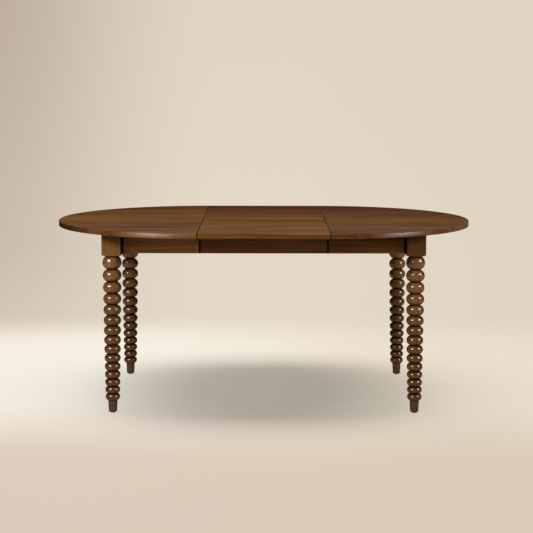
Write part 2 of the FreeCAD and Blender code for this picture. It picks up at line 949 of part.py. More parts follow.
def core_runner(slide_y):
    half_root = tongue_half_root + slide_clearance
    half_tip = tongue_half_root + tongue_flare + slide_clearance
    side = core_half
    floor = runner_face - tongue_depth - slide_clearance
    bevel = runner_chamfer
    right_side = [
        (side - bevel, core_bottom), (side, core_bottom + bevel), (side, tongue_z - half_root),
        (floor, tongue_z - half_tip), (floor, tongue_z + half_tip), (side, tongue_z + half_root),
        (side, core_top),
    ]
    left_side = [(-y, z) for y, z in reversed(right_side)]
    section = [(slide_y + y, z) for y, z in right_side + left_side]
    runner = prism_x(section, -runner_half, runner_half)
    pin_top = gear_z + pinion_width / 2 + slide_clearance + pinion_pin_bite
    pin_hole = rod(pinion_pin_radius + fixing_clearance, Vector(0, slide_y, core_bottom - overrun),
                   up, pin_top + end_clearance - core_bottom + overrun)
    peg_holes = [rod(stop_peg_radius + fixing_clearance, start, way, stop_peg_length)
                 for start, way in stop_peg_seats()]
    return drilled(runner, [pinion_pocket(slide_y), pin_hole] + peg_holes
                   + wood_screw_holes(crossbar_screw_seats()))


def stop_pegs():
    return [rod(stop_peg_radius, start, way, stop_peg_length) for start, way in stop_peg_seats()]


def pinion_pin(slide_y):
    bottom = core_bottom - crossbar_thickness + pinion_pin_inset
    top = gear_z + pinion_width / 2 + slide_clearance + pinion_pin_bite
    return rod(pinion_pin_radius, Vector(0, slide_y, bottom), up, top - bottom)


def rail_box(x0, x1, y0, y1, z0, z1):
    # a bar across the table with its lower long edges bevelled
    rail = box(x0, x1, y0, y1, z0, z1)
    low = edges_at(rail, lambda b: b.YLength > core_y and b.ZMax < (z0 + z1) / 2)
    return rail.makeChamfer(rail_chamfer, low)


def centre_crossbar():
    half = crossbar_width / 2
    reach = core_y + core_half
    bar = rail_box(-half, half, -reach, reach, core_bottom - crossbar_thickness, core_bottom)
    pin_holes = [rod(pinion_pin_radius + fixing_clearance,
                     Vector(0, slide_y, core_bottom - crossbar_thickness - overrun), up,
                     crossbar_thickness + 2 * overrun) for slide_y in (-core_y, core_y)]
    return drilled(bar, pin_holes + wood_screw_holes(crossbar_screw_seats()))


def seam_rail():
    # under the half's open edge, relieved where the core and the other half's runners pass
    near = -(seam_x + seam_rail_from_seam)
    far = near - seam_rail_width
    rail = rail_box(far, near, -block_inner_y, block_inner_y, runner_bottom - seam_rail_thickness,
                    runner_bottom)
    reliefs = [box(far - overrun, near + overrun, slide_y - runner_face,
                   slide_y + runner_face + runner_width + end_clearance,
                   runner_bottom - seam_rail_relief, runner_bottom + overrun)
               for slide_y in (-core_y, core_y)]
    return drilled(rail, reliefs + wood_screw_holes(rail_screw_seats()))


# Screw blocks

def block_along_side(x_middle, length, side, seats):
    inner = side * block_inner_y
    outer = side * (block_inner_y - screw_block_size)
    block = box(x_middle - length / 2, x_middle + length / 2, min(inner, outer), max(inner, outer),
                underside - screw_block_size, underside)
    return drilled(block, wood_screw_holes(seats))


def half_screw_blocks():
    seats = half_block_screw_seats()
    blocks = [block_along_side(side_block_middle(), side_block_length, side, seats)
              for side in (-1, 1)]
    end = box(-block_inner_x, -block_inner_x + screw_block_size, -end_block_length / 2,
              end_block_length / 2, underside - screw_block_size, underside)
    blocks.append(drilled(end, wood_screw_holes(seats)))
    return blocks


def leaf_screw_blocks():
    seats = leaf_block_screw_seats()
    return [block_along_side(middle, side_block_length, side, seats)
            for side in (-1, 1) for middle in leaf_block_middles()]


# Hook latches

def latch_plate():
    # front left plate, with its pivot riveted in
    nose = -latch_pivot_x + latch_plate_nose
    y = -latch_y
    plate = box(nose - latch_plate_length, nose, y - latch_plate_width / 2,
                y + latch_plate_width / 2, latch_plate_bottom, underside)
    upright = edges_at(plate, lambda b: b.ZLength > latch_plate_thickness / 2)
    plate = plate.makeFillet(latch_plate_corner_radius, upright)
    pivot = rod(latch_pivot_radius, Vector(-latch_pivot_x, y, latch_head_top), up,
                latch_plate_bottom - latch_head_top)
    head = rod(latch_head_radius, Vector(-latch_pivot_x, y, latch_head_bottom), up,
               latch_head_height)
    plate = plate.fuse([pivot, head])
    return drilled(plate, small_screw_holes(latch_screw_seats()))


def latch_lever():
    # front left lever in its open place, pointing to the front; it locks a quarter turn on
    arm_half = lever_arm_width / 2
    tail_half = lever_tail_width / 2
    thick = lever_thickness
    hub = rod(lever_hub_radius, origin, up, thick)
    arm = box(0, latch_reach, -arm_half, arm_half, 0, thick)
    hook = rod(lever_hook_radius, Vector(latch_reach, 0, 0), up, thick)
    tail = box(-lever_tail, 0, -tail_half, tail_half, 0, thick)
    tab = box(-lever_tail, -lever_tail + thick, -tail_half, tail_half, -lever_tab_drop, thick)
    lever = hub.fuse([arm, hook, tail, tab]).removeSplitter()
    # the mouth follows the stud's path round the pivot
    gap = keeper_stud_radius + slide_clearance
    low = Vector(0, 0, -overrun)
    tall = thick + 2 * overrun
    outer = Part.makeCylinder(latch_reach + gap, tall, low, up, lever_mouth_angle)
    inner = rod(latch_reach - gap, low, up, tall)
    seat = rod(gap, Vector(latch_reach, 0, -overrun), up, tall)
    bore = rod(latch_pivot_radius + running_clearance, low, up, tall)
    lever = lever.cut([outer.cut(inner), seat, bore])
    return moved(spun(lever, -quarter_turn), -latch_pivot_x, -latch_y, lever_bottom)


def keeper_plates():
    plates = []
    half_width = keeper_width / 2
    half_length = keeper_length / 2
    for end in (-1, 1):
        for side in (-1, 1):
            x = end * keeper_x
            y = side * latch_y
            plate = box(x - half_width, x + half_width, y - half_length, y + half_length,
                        latch_plate_bottom, underside)
            upright = edges_at(plate, lambda b: b.ZLength > latch_plate_thickness / 2)
            plate = plate.makeFillet(keeper_corner_radius, upright)
            stud = rod(keeper_stud_radius, Vector(x, y, latch_head_top), up,
                       latch_plate_bottom - latch_head_top)
            head = rod(keeper_head_radius, Vector(x, y, latch_head_bottom), up, latch_head_height)
            plate = plate.fuse([stud, head])
            plates.append(drilled(plate, small_screw_holes(keeper_screw_seats())))
    return plates


# Assembly

def left_half():
    leg_shape = leg()
    front_bolts = hanger_bolts()
    plate = latch_plate()
    lever = latch_lever()
    pieces = {}
    pieces["half_top"] = [half_top()]
    pieces["front_apron"] = [half_side_apron(-1)]
    pieces["back_apron"] = [half_side_apron(1)]
    pieces["end_apron"] = [end_apron()]
    pieces["front_leg"] = at_front_left([leg_shape])
    pieces["back_leg"] = at_back_left([leg_shape])
    pieces["foot_glides"] = at_front_left([foot_glide()]) + at_back_left([foot_glide()])
    pieces["corner_blocks"] = at_front_left([corner_block()]) + at_back_left([corner_block()])
    pieces["hanger_bolts"] = at_front_left(front_bolts) + at_back_left(front_bolts)
    pieces["washers"] = at_front_left(washers()) + at_back_left(washers())
    pieces["nuts"] = at_front_left(nuts()) + at_back_left(nuts())
    pieces["outer_runner"] = [left_runner(-core_y)]
    pieces["inner_runner"] = [left_runner(core_y)]
    pieces["racks"] = [left_rack(-core_y), left_rack(core_y)]
    pieces["seam_rail"] = [seam_rail()]
    pieces["screw_blocks"] = half_screw_blocks()
    pieces["wood_screws"] = wood_screws(half_screw_seats())
    pieces["seam_pins"] = seam_pins()
    pieces["latch_plates"] = [plate, mirrored_across(plate)]
    pieces["latch_screws"] = small_screws(latch_screw_seats())
    pieces["front_latch"] = [lever]
    pieces["back_latch"] = [mirrored_across(lever)]
    return pieces


def right_name(name):
    # half a turn brings what is in front to the back
    if name.startswith("front_"):
        return name.replace("front_", "right_back_")
    if name.startswith("back_"):
        return name.replace("back_", "right_front_")
    return "right_" + name


def all_nodes():
    nodes = {}
    for name, shapes in left_half().items():
        nodes["left_" + name] = shapes
        nodes[right_name(name)] = [spun(shape, half_turn) for shape in shapes]
    nodes["leaf_top"] = [leaf_top()]
    nodes["leaf_front_apron"] = [leaf_apron(-1)]
    nodes["leaf_back_apron"] = [leaf_apron(1)]
    nodes["leaf_screw_blocks"] = leaf_screw_blocks()
    nodes["leaf_wood_screws"] = wood_screws(leaf_block_screw_seats())
    nodes["leaf_keeper_plates"] = keeper_plates()
    nodes["leaf_keeper_screws"] = small_screws(keeper_screw_seats())
    nodes["front_core_runner"] = [core_runner(-core_y)]
    nodes["back_core_runner"] = [core_runner(core_y)]
    nodes["centre_crossbar"] = [centre_crossbar()]
    nodes["crossbar_screws"] = wood_screws(crossbar_screw_seats())
    nodes["stop_pegs"] = stop_pegs()
    nodes["pinion_pins"] = [pinion_pin(-core_y), pinion_pin(core_y)]
    nodes["front_pinion"] = [pinion(-core_y)]
    nodes["back_pinion"] = [pinion(core_y)]
    return nodes


def save(nodes):
    os.makedirs("parts", exist_ok=True)
    for name, shapes in nodes.items():
        solids = []
        for shape in shapes:
            solids += shape.Solids
        whole = solids[0] if len(solids) == 1 else Part.makeCompound(solids)
        whole.exportStep("parts/" + name + ".step")
        sound = all(solid.isValid() for solid in solids)
        print(name, "solids", len(solids), "volume cm3", round(whole.Volume / 1000, 2),
              "sound" if sound else "NOT SOUND")
    print("nodes", len(nodes))


save(all_nodes())
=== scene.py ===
import json
import math

import bpy
from mathutils import Matrix, Vector

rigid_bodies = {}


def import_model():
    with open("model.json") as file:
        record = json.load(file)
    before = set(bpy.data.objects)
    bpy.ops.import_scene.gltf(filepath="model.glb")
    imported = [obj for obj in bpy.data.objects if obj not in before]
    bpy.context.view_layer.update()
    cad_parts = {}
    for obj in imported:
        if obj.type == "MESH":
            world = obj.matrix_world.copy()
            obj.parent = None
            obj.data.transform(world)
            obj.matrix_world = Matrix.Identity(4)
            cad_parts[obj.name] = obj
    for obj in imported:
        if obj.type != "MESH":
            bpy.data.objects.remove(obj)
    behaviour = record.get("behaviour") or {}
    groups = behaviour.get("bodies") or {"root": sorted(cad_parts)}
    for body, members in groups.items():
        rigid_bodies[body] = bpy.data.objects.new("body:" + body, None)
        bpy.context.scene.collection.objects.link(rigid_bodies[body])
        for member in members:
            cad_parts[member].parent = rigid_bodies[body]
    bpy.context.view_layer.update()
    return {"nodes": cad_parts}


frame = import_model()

nodes = frame["nodes"]
scene = bpy.context.scene

# Camera, where the photograph was taken from

cameraLook = {
    "place": (-0.00395, -5.84966, 1.31842),
    "pitchDown": 4.0,
    "heading": -0.1671,
    "roll": 0.0953,
    "lens": 93.0,
    "sensor": 36.0,
    "shiftX": -0.0009,
    "shiftY": -0.1605,
    "clipEnd": 200.0,
}


def addCamera(look):
    data = bpy.data.cameras.new("photoCamera")
    data.lens = look["lens"]
    data.sensor_width = look["sensor"]
    data.shift_x = look["shiftX"]
    data.shift_y = look["shiftY"]
    data.clip_end = look["clipEnd"]
    camera = bpy.data.objects.new("photoCamera", data)
    scene.collection.objects.link(camera)
    turn = (Matrix.Rotation(math.radians(look["heading"]), 4, "Z")
            @ Matrix.Rotation(math.radians(90.0 - look["pitchDown"]), 4, "X")
            @ Matrix.Rotation(math.radians(look["roll"]), 4, "Z"))
    camera.matrix_world = Matrix.Translation(look["place"]) @ turn
    scene.camera = camera


addCamera(cameraLook)
scene.view_settings.view_transform = "Standard"
print("camera set")

# Node helpers


def addNode(tree, kind, **settings):
    node = tree.nodes.new(kind)
    for name, value in settings.items():
        setattr(node, name, value)
    return node


def link(tree, source, target):
    tree.links.new(source, target)


def feed(tree, socket, value):
    # a number or a colour is set on the socket, and another node's output is linked to it
    if isinstance(value, (int, float, tuple)):
        socket.default_value = value
    else:
        link(tree, value, socket)


def mathNode(tree, operation, *values, clamp=False):
    node = addNode(tree, "ShaderNodeMath", operation=operation, use_clamp=clamp)
    for socket, value in zip(node.inputs, values):
        feed(tree, socket, value)
    return node.outputs[0]


def mapRange(tree, value, fromMin, fromMax, toMin=0.0, toMax=1.0, smooth=False):
    node = addNode(tree, "ShaderNodeMapRange",
                   interpolation_type="SMOOTHSTEP" if smooth else "LINEAR")
    for name, given in (("Value", value), ("From Min", fromMin), ("From Max", fromMax),
                        ("To Min", toMin), ("To Max", toMax)):
        feed(tree, node.inputs[name], given)
    return node.outputs[0]


def mixColour(tree, share, first, second, blend="MIX"):
    node = addNode(tree, "ShaderNodeMix", data_type="RGBA", blend_type=blend)
    # a Mix node's colours are its sockets 6 and 7, and its third output
    for index, value in ((0, share), (6, first), (7, second)):
        feed(tree, node.inputs[index], value)
    return node.outputs[2]


def tinted(tree, colour, tone, share=1.0):
    return mixColour(tree, share, colour, tone, "MULTIPLY")


def grey(tree, shade):
    node = addNode(tree, "ShaderNodeCombineColor")
    for channel in node.inputs:
        link(tree, shade, channel)
    return node.outputs[0]


def splitXYZ(tree, vector):
    parts = addNode(tree, "ShaderNodeSeparateXYZ")
    link(tree, vector, parts.inputs[0])
    return parts.outputs["X"], parts.outputs["Y"], parts.outputs["Z"]


def joinXYZ(tree, *values):
    node = addNode(tree, "ShaderNodeCombineXYZ")
    for socket, value in zip(node.inputs, values):
        feed(tree, socket, value)
    return node.outputs[0]


def mapped(tree, vector, **settings):
    # the settings are the node's own: Scale, Rotation and Location
    node = addNode(tree, "ShaderNodeMapping")
    for name, value in settings.items():
        node.inputs[name].default_value = value
    link(tree, vector, node.inputs["Vector"])
    return node.outputs[0]


def noise(tree, vector, size, detail, roughness=0.55, distortion=0.0):
    node = addNode(tree, "ShaderNodeTexNoise")
    node.inputs["Scale"].default_value = 1.0
    node.inputs["Detail"].default_value = detail
    node.inputs["Roughness"].default_value = roughness
    node.inputs["Distortion"].default_value = distortion
    link(tree, mapped(tree, vector, Scale=size), node.inputs["Vector"])
    return node.outputs["Fac"]


def bump(tree, height, distance, strength=0.6):
    node = addNode(tree, "ShaderNodeBump")
    node.inputs["Strength"].default_value = strength
    node.inputs["Distance"].default_value = distance
    link(tree, height, node.inputs["Height"])
    return node.outputs[0]


def mixShaders(tree, share, first, second):
    node = addNode(tree, "ShaderNodeMixShader")
    for socket, source in zip(node.inputs, (share, first, second)):
        link(tree, source, socket)
    return node.outputs[0]


def srgb(red, green, blue):
    # a colour as a paint program gives it, 0 to 255
    def linear(value):
        value /= 255.0
        return value / 12.92 if value <= 0.04045 else ((value + 0.055) / 1.055) ** 2.4
    return (linear(red), linear(green), linear(blue), 1.0)


def opaque(tone):
    return (*tone, 1.0)


def toneRamp(tree, share, paintedLightTones):
    # tones are pairs of a place from 0 to 1 and the tone there
    ramp = addNode(tree, "ShaderNodeValToRGB")
    stops = ramp.color_ramp.elements
    while len(stops) < len(paintedLightTones):
        stops.new(0.5)      # the next loop moves it
    for stop, (position, tone) in zip(stops, paintedLightTones):
        stop.position = position
        stop.color = opaque(tone)
    link(tree, share, ramp.inputs[0])
    return ramp.outputs[0]


def newGroup(name, inputs, outputs):
    group = bpy.data.node_groups.new(name, "ShaderNodeTree")
    for way, sockets in (("INPUT", inputs), ("OUTPUT", outputs)):
        for label, kind in sockets:
            group.interface.new_socket(name=label, in_out=way, socket_type=kind)
    given = addNode(group, "NodeGroupInput")
    result = addNode(group, "NodeGroupOutput")
    return group, given.outputs, result.inputs


def placeGroup(tree, group, values):
    node = addNode(tree, "ShaderNodeGroup", node_tree=group)
    for name, value in values.items():
        feed(tree, node.inputs[name], value)
    return node.outputs


# Grain of a board whose length runs along the vector's X, in metres.
# Rings round a heart line below the board, streaks along it and short dark pores.

grainLook = {
    # each noise has its size along X, Y and Z, its detail, roughness and distortion
    "wander": ((1.6, 5.0, 5.0), 2.0, 0.55, 0.0),
    "streaks": ((1.3, 19.0, 19.0), 9.0, 0.66, 0.2),
    "pores": ((9.0, 420.0, 420.0), 3.0, 0.6, 0.0),
    "wanderReach": (0.82, 1.18),
    "rings": {"Scale": 26.0, "Distortion": 2.4, "Detail": 3.0, "Detail Scale": 1.4},
    "ringSize": (0.10, 1.0, 1.0),
    # between which values of its noise each one fades in
    "streakReach": (0.34, 0.66),
    "streakShare": 0.75,
    "streakRelief": 0.5,
    "poreReach": (0.60, 0.72),
    "poreRoughness": 0.15,
    "glossReach": (0.3, 0.7),
    "glossChange": (-0.03, 0.05),
}


def makeGrainGroup(look):
    group, given, result = newGroup("boardGrain", (
        ("Vector", "NodeSocketVector"),
        ("Light", "NodeSocketColor"),
        ("Dark", "NodeSocketColor"),
        ("Pore", "NodeSocketColor"),
        ("Ring Contrast", "NodeSocketFloat"),
        ("Pore Amount", "NodeSocketFloat"),
        ("Gloss Roughness", "NodeSocketFloat"),
    ), (("Color", "NodeSocketColor"), ("Roughness", "NodeSocketFloat"),
        ("Height", "NodeSocketFloat")))
    vector = given["Vector"]
    wander = noise(group, vector, *look["wander"])
    wandering = addNode(group, "ShaderNodeVectorMath", operation="SCALE")
    link(group, vector, wandering.inputs[0])
    link(group, mapRange(group, wander, 0.0, 1.0, *look["wanderReach"]),
         wandering.inputs["Scale"])
    rings = addNode(group, "ShaderNodeTexWave", wave_type="RINGS", rings_direction="X",
                    wave_profile="SAW")
    for name, value in look["rings"].items():
        rings.inputs[name].default_value = value
    link(group, mapped(group, wandering.outputs[0], Scale=look["ringSize"]),
         rings.inputs["Vector"])
    streaks = noise(group, vector, *look["streaks"])
    ringPart = mathNode(group, "MULTIPLY", rings.outputs["Fac"], given["Ring Contrast"])
    streakPart = mathNode(group, "MULTIPLY", mapRange(group, streaks, *look["streakReach"]),
                          look["streakShare"])
    darkness = mathNode(group, "ADD", streakPart, ringPart, clamp=True)
    body = mixColour(group, darkness, given["Light"], given["Dark"])
    pores = mapRange(group, noise(group, vector, *look["pores"]), *look["poreReach"],
                     smooth=True)
    poreMask = mathNode(group, "MULTIPLY", pores, given["Pore Amount"], clamp=True)
    link(group, mixColour(group, poreMask, body, given["Pore"]), result["Color"])
    rough = mathNode(group, "ADD", given["Gloss Roughness"],
                     mapRange(group, streaks, *look["glossReach"], *look["glossChange"]))
    rough = mathNode(group, "ADD", rough,
                     mathNode(group, "MULTIPLY", poreMask, look["poreRoughness"]))
    link(group, rough, result["Roughness"])
    relief = mathNode(group, "SUBTRACT",
                      mathNode(group, "MULTIPLY", streaks, look["streakRelief"]), poreMask)
    link(group, relief, result["Height"])
    return group


# Boards glued edge to edge: the vector shifts from board to board across Y, and each board has
# its own shade.

boardsLook = {
    "firstJoint": 0.37,     # this and jointWidth are shares of a board's width
    "jointWidth": 0.006,
    # how far the grain shifts from board to board, in metres
    "alongReach": 7.0,
    "acrossReach": (-0.10, 0.10),
    "heartReach": (-0.74, -0.66),
}


def makeBoardsGroup(look):
    group, given, result = newGroup("gluedBoards", (
        ("Vector", "NodeSocketVector"),
        ("Board Width", "NodeSocketFloat"),
        ("Seed", "NodeSocketFloat"),
    ), (("Vector", "NodeSocketVector"), ("Shade", "NodeSocketFloat"),
        ("Joint", "NodeSocketFloat")))
    placeX, placeY, placeZ = splitXYZ(group, given["Vector"])
    boards = mathNode(group, "ADD", mathNode(group, "DIVIDE", placeY, given["Board Width"]),
                      look["firstJoint"])
    onBoard = mathNode(group, "FRACT", boards)
    random = addNode(group, "ShaderNodeTexWhiteNoise", noise_dimensions="2D")
    link(group, joinXYZ(group, mathNode(group, "FLOOR", boards), given["Seed"]),
         random.inputs["Vector"])
    draws = addNode(group, "ShaderNodeSeparateColor")
    link(group, random.outputs["Color"], draws.inputs[0])
    drawX, drawY, drawZ = draws.outputs
    along = mathNode(group, "ADD", placeX,
                     mathNode(group, "MULTIPLY", drawX, look["alongReach"]))
    fromMiddle = mathNode(group, "MULTIPLY", mathNode(group, "SUBTRACT", onBoard, 0.5),
                          given["Board Width"])
    across = mathNode(group, "ADD", fromMiddle,
                      mapRange(group, drawY, 0.0, 1.0, *look["acrossReach"]))
    depth = mathNode(group, "ADD", placeZ,
                     mapRange(group, drawZ, 0.0, 1.0, *look["heartReach"]))
    link(group, joinXYZ(group, along, across, depth), result["Vector"])
    link(group, random.outputs["Value"], result["Shade"])
    edge = mathNode(group, "MINIMUM", onBoard, mathNode(group, "SUBTRACT", 1.0, onBoard))
    link(group, mapRange(group, edge, 0.0, look["jointWidth"], 1.0, 0.0), result["Joint"])
    return group


grainGroup = makeGrainGroup(grainLook)
boardsGroup = makeBoardsGroup(boardsLook)
print("grain and boards made")


def newMaterial(name):
    material = bpy.data.materials.new(name)
    material.use_nodes = True
    tree = material.node_tree
    shader = tree.nodes["Principled BSDF"]
    coordinates = addNode(tree, "ShaderNodeTexCoord")
    return material, tree, shader, coordinates.outputs["Object"]


def placeGrain(tree, look, vector):
    return placeGroup(tree, grainGroup, {
        "Vector": vector,
        "Light": srgb(*look["light"]),
        "Dark": srgb(*look["dark"]),
        "Pore": srgb(*look["pore"]),
        "Ring Contrast": look["rings"],
        "Pore Amount": look["pores"],
        "Gloss Roughness": look["roughness"],
    })


def finishWood(tree, shader, look, colour, roughness, height):
    link(tree, colour, shader.inputs["Base Color"])
    link(tree, roughness, shader.inputs["Roughness"])
    link(tree, bump(tree, height, look["relief"]), shader.inputs["Normal"])
    shader.inputs["Specular IOR Level"].default_value = look["specular"]


def nearSeam(tree, placeX, look):
    # 1 at the joint between a half and the leaf, where dirt and shade make a dark line
    fromSeam = mathNode(tree, "SUBTRACT", mathNode(tree, "ABSOLUTE", placeX), look["place"])
    return mapRange(tree, mathNode(tree, "ABSOLUTE", fromSeam), look["core"], look["edge"],
                    look["strength"], 0.0, smooth=True)


seamLook = {"place": 0.2573, "core": 0.0018, "edge": 0.0036, "strength": 0.95}
apronSeamLook = {"place": 0.2573, "core": 0.0030, "edge": 0.0050, "strength": 1.0}

# Tops: stained boards along X, one look for each half and one for the leaf

topLook = {
    "light": (134, 86, 44),
    "dark": (74, 44, 19),
    "pore": (40, 23, 11),
    "rings": 0.35,
    "pores": 0.35,
    "roughness": 0.62,
    "specular": 0.012,
    "relief": 0.0001,
    "boardWidth": 0.135,
    "shades": (0.90, 1.08),
    "jointShade": 0.2,
    # painted light: the tone runs from a greyer painted sheen at the front edge to painted shade
    # at the back one
    "depth": (-0.61, 0.61),
    "paintedLightTones": ((0.0, (0.38, 0.46, 0.9)), (0.13, (0.38, 0.46, 0.88)), (0.3, (0.48, 0.53, 0.56)),
              (0.5, (0.46, 0.48, 0.35)), (0.7, (0.36, 0.31, 0.13)),
              (0.93, (0.26, 0.19, 0.04)), (1.0, (0.23, 0.16, 0.04))),
    # the edge, from its foot to the arris, and the painted light that it takes towards the
    # table's ends: a painted grey sheen at the right end, painted shade at the left end
    "edgeFoot": 0.7285,
    "arris": (0.7480, 0.7498),
    "edgeCoat": 0.31,
    "edgeRoughness": 0.3,
    "edgeLean": 0.13,
    "edgeCurve": 5.5,
    "edgeTone": (0.47, 0.44, 0.27),
    "endFrom": 0.71,
    "endTo": 0.80,
    "paintedEndLight": (0.72, 0.98, 1.7),
}
leafLook = dict(
    topLook, light=(134, 84, 46), dark=(72, 42, 18),
    paintedLightTones=((0.0, (0.58, 0.76, 1.2)), (0.05, (0.69, 0.89, 1.2)), (0.13, (0.67, 0.85, 1.15)),
           (0.3, (0.51, 0.57, 0.55)), (0.5, (0.47, 0.50, 0.31)), (0.7, (0.41, 0.36, 0.13)),
           (0.93, (0.26, 0.16, 0.02)), (1.0, (0.22, 0.13, 0.02))),
    edgeCoat=0.0, edgeTone=(0.58, 0.58, 0.42))
# the left half's edge tone is greyed towards a painted sheen, and its end takes painted shade
leftLook = dict(
    topLook, light=(142, 91, 46), dark=(80, 47, 20),
    paintedLightTones=((0.0, (0.36, 0.46, 0.85)), (0.13, (0.47, 0.56, 0.9)), (0.3, (0.35, 0.36, 0.39)),
           (0.5, (0.55, 0.61, 0.50)), (0.7, (0.46, 0.45, 0.28)), (0.93, (0.30, 0.235, 0.07)),
           (1.0, (0.26, 0.20, 0.06))),
    edgeCoat=0.34, edgeLean=0.16, edgeCurve=4.6, edgeTone=(0.53, 0.55, 0.42),
    endFrom=0.655, paintedEndLight=(0.14, 0.13, 0.11))


def topMaterial(name, look, seed):
    material, tree, shader, place = newMaterial(name)
    boards = placeGroup(tree, boardsGroup,
                        {"Vector": place, "Board Width": look["boardWidth"], "Seed": seed})
    grain = placeGrain(tree, look, boards["Vector"])
    shade = mapRange(tree, boards["Shade"], 0.0, 1.0, *look["shades"])
    toned = tinted(tree, grain["Color"], grey(tree, shade))
    placeX, placeY, placeZ = splitXYZ(tree, place)
    # painted light on the flat: a greyer painted sheen towards the front edge and painted shade
    # towards the back
    paintedFlatLight = toneRamp(tree, mapRange(tree, placeY, *look["depth"]), look["paintedLightTones"])
    # towards the ends the edge takes painted light: painted shade at the left end, a painted grey
    # sheen at the right
    atEnd = mapRange(tree, mathNode(tree, "ABSOLUTE", placeX), look["endFrom"], look["endTo"],
                     smooth=True)
    edgeTone = mixColour(tree, atEnd, opaque(look["edgeTone"]), opaque(look["paintedEndLight"]))
    onEdge = mapRange(tree, placeZ, *look["arris"], 1.0, 0.0)
    toned = tinted(tree, toned, mixColour(tree, onEdge, paintedFlatLight, edgeTone))
    jointAndShade = mathNode(tree, "MULTIPLY", boards["Joint"], look["jointShade"])
    jointAndShade = mathNode(tree, "MAXIMUM", jointAndShade, nearSeam(tree, placeX, seamLook))
    finishWood(tree, shader, look, mixColour(tree, jointAndShade, toned, srgb(*look["pore"])),
               grain["Roughness"], grain["Height"])
    # the edge and its arris keep more varnish than the flat
    link(tree, mathNode(tree, "MULTIPLY", onEdge, look["edgeCoat"]),
         shader.inputs["Coat Weight"])
    shader.inputs["Coat Roughness"].default_value = look["edgeRoughness"]
    # and the varnish leans back, more towards the upper arris
    upEdge = mathNode(tree, "SUBTRACT", placeZ, look["edgeFoot"])
    lean = mathNode(tree, "MULTIPLY", upEdge, -look["edgeLean"])
    curve = mathNode(tree, "MULTIPLY", mathNode(tree, "MULTIPLY", upEdge, upEdge),
                     -look["edgeCurve"])
    link(tree, bump(tree, mathNode(tree, "ADD", lean, curve), distance=1.0, strength=1.0),
         shader.inputs["Coat Normal"])
    return material


# Legs: the grain runs up and down, and painted shade lies in the hollows between the beads

legLook = {
    "light": (184, 131, 74),
    "dark": (104, 72, 37),
    "pore": (36, 22, 11),
    # the colour of the painted shade, and of the aprons' dark joints
    "hollow": (21, 12, 6),
    "rings": 0.5,
    "pores": 0.4,
    "roughness": 0.2,
    "specular": 0.78,
    "relief": 0.00003,
    # a thin brown varnish, which looks deeper where the surface turns away
    "varnish": 1.0,
    "varnishRoughness": 0.2,
    "varnishTint": (0.68, 0.66, 0.64),
    "varnishDepth": 1.01,
    # where the legs stand, and how the grain lies in each one's timber
    "centre": (0.6076, 0.3717),
    "timberShift": (1.7, 0.6),
    "heart": (0.055, 0.03),
    "grainScale": (1.4, 2.0, 2.0),
    # the painted shade in the hollows, by their distance from the leg's middle, and down to the
    # foot
    "hollowFrom": 0.0190,
    "hollowTo": 0.0290,
    "hollowFoot": (0.046, 0.054),
    "hollowShade": 0.92,
    "hollowRoughness": 0.4,
    # the collar under the block and the inner side of the block, in painted shade and rougher
    "collarRadius": 0.0285,
    "collarLow": 0.6322,
    "innerSide": -0.0377,
    "innerRoughness": 0.5,
    "footReach": (0.050, 0.058),
    "footShade": 0.32,
    # the block, whose grain is calmer: how much, and towards which share of the dark
    "blockLow": 0.6372,
    "blockCalm": 0.6,
    "blockTone": 0.4,
    "blockRoughness": -0.06,
    # painted shade: the front right leg is darker, and its block darker still
    "frontRightShade": (0.92, 0.88, 0.80),
    "frontRightBlockShade": (0.70, 0.64, 0.48),
    # painted shade: darker down the leg towards the floor, and darker up the block towards the
    # tabletop
    "height": (0.0, 0.7285),
    "paintedLightTones": ((0.0, (0.33, 0.19, 0.035)), (0.3, (0.38, 0.31, 0.15)), (0.53, (0.48, 0.43, 0.27)),
              (0.8, (0.88, 0.87, 0.80)), (0.862, (0.88, 0.87, 0.80)), (0.876, (0.66, 0.64, 0.65)),
              (0.93, (0.64, 0.62, 0.62)), (1.0, (0.42, 0.40, 0.38))),
}


